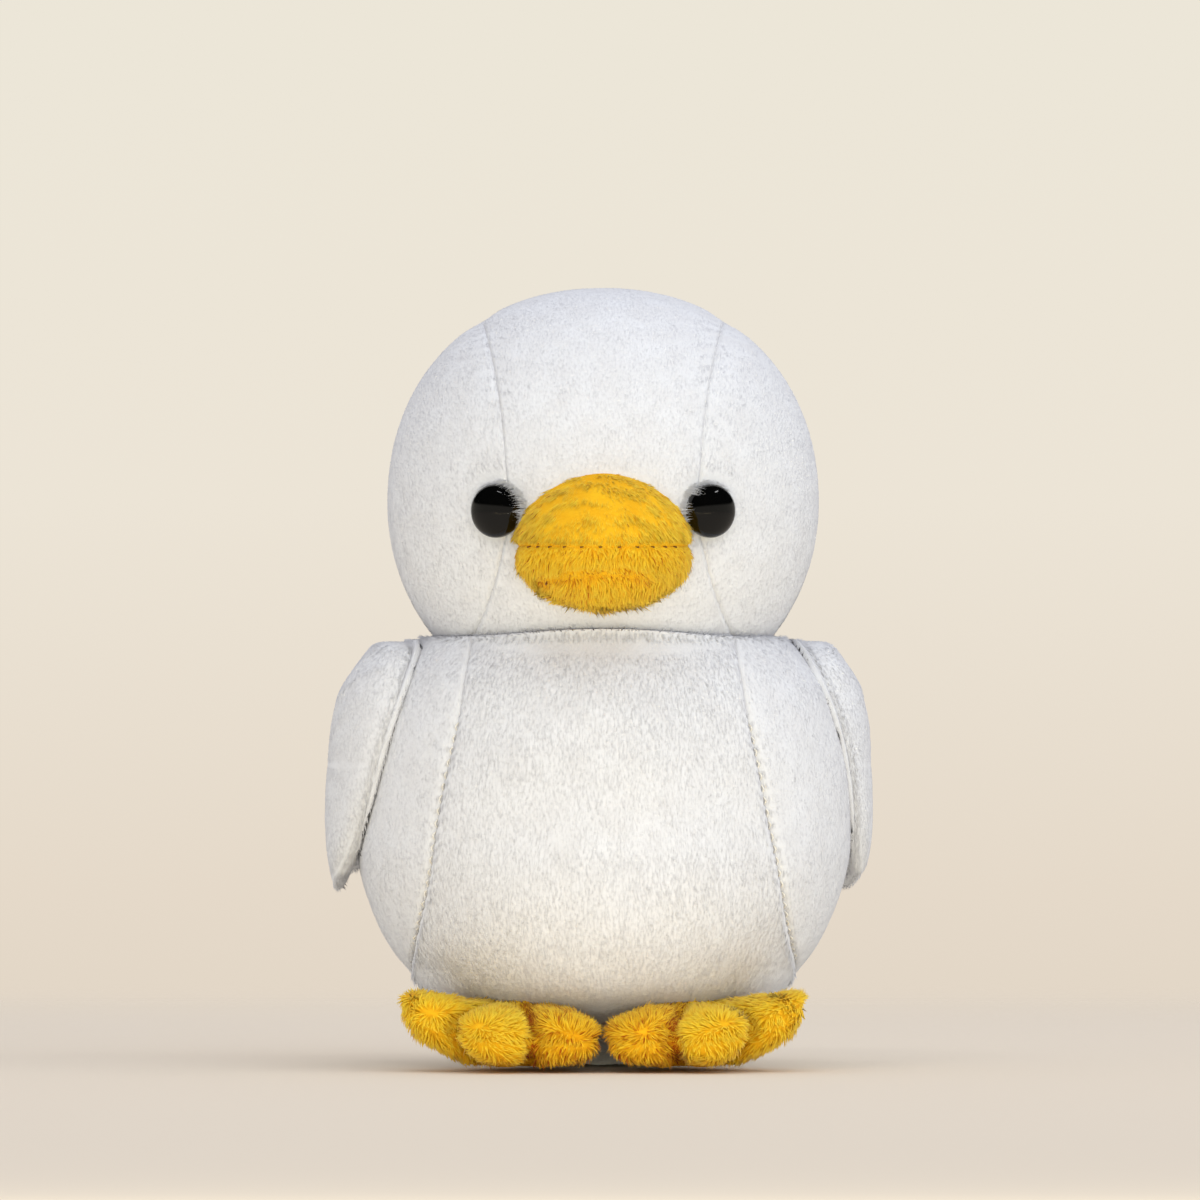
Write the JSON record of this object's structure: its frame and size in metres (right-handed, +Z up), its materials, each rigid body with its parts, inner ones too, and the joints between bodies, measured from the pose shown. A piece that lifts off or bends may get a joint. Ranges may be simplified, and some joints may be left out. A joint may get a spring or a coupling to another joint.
{
  "type": "plush duck",
  "caption": "Sitting stuffed toy duck with a round head, hanging pad wings, a short bill, a small tail and three-toed feet.",
  "frame": {"origin": "on the surface it stands on, under the middle of its box", "axes": "+Z up, -Y the way the duck looks, +X towards the duck's own left wing"},
  "size_m": [0.1248, 0.1343, 0.1765],
  "materials": {
    "white_plush": "short white minky pile, combed downwards",
    "yellow_plush": "orange-yellow minky pile, longer and tufted",
    "fibre_filling": "loose white polyester fibre",
    "pellet_bag_cloth": "plain woven cloth bag of plastic pellets",
    "black_eye_plastic": "polished black, domed",
    "white_washer_plastic": "moulded, matt"
  },
  "bodies": {
    "torso": {"body_belly_panel": "white_plush", "body_side_panel_left": "white_plush", "body_side_panel_right": "white_plush", "body_base_panel": "white_plush", "body_filling": "fibre_filling", "pellet_bag": "pellet_bag_cloth", "tail_upper": "white_plush", "tail_lower": "white_plush", "tail_filling": "fibre_filling", "foot_left_top": "yellow_plush", "foot_left_sole": "yellow_plush", "foot_left_filling": "fibre_filling", "foot_right_top": "yellow_plush", "foot_right_sole": "yellow_plush", "foot_right_filling": "fibre_filling"},
    "neck": {"neck_filling": "fibre_filling"},
    "head": {"head_gusset": "white_plush", "head_side_left": "white_plush", "head_side_right": "white_plush", "head_filling": "fibre_filling", "bill_upper": "yellow_plush", "bill_lower": "yellow_plush", "bill_filling": "fibre_filling", "eye_left": "black_eye_plastic", "eye_right": "black_eye_plastic", "eye_washer_left": "white_washer_plastic", "eye_washer_right": "white_washer_plastic"},
    "wing_left": {"wing_left_outer": "white_plush", "wing_left_inner": "white_plush", "wing_left_filling": "fibre_filling"},
    "wing_right": {"wing_right_outer": "white_plush", "wing_right_inner": "white_plush", "wing_right_filling": "fibre_filling"}
  },
  "joints": [
    {"name": "neck_turn", "type": "hinge", "parent": "torso", "child": "neck", "pos_m": [0, 0, 0.127], "axis": [0, 0, 1], "range_deg": [-25, 25], "stiffness_Nm_per_rad": 0.15},
    {"name": "head_nod", "type": "hinge", "parent": "neck", "child": "head", "pos_m": [0, 0, 0.127], "axis": [1, 0, 0], "range_deg": [-10, 6], "stiffness_Nm_per_rad": 0.2},
    {"name": "wing_left_lift", "type": "hinge", "parent": "torso", "child": "wing_left", "pos_m": [0.04153, 0.01191, 0.096], "axis": [0.2756, -0.9613, 0], "range_deg": [0, 75]},
    {"name": "wing_right_lift", "type": "hinge", "parent": "torso", "child": "wing_right", "pos_m": [-0.0432, 0, 0.096], "axis": [0, 1, 0], "range_deg": [0, 75]}
  ]
}
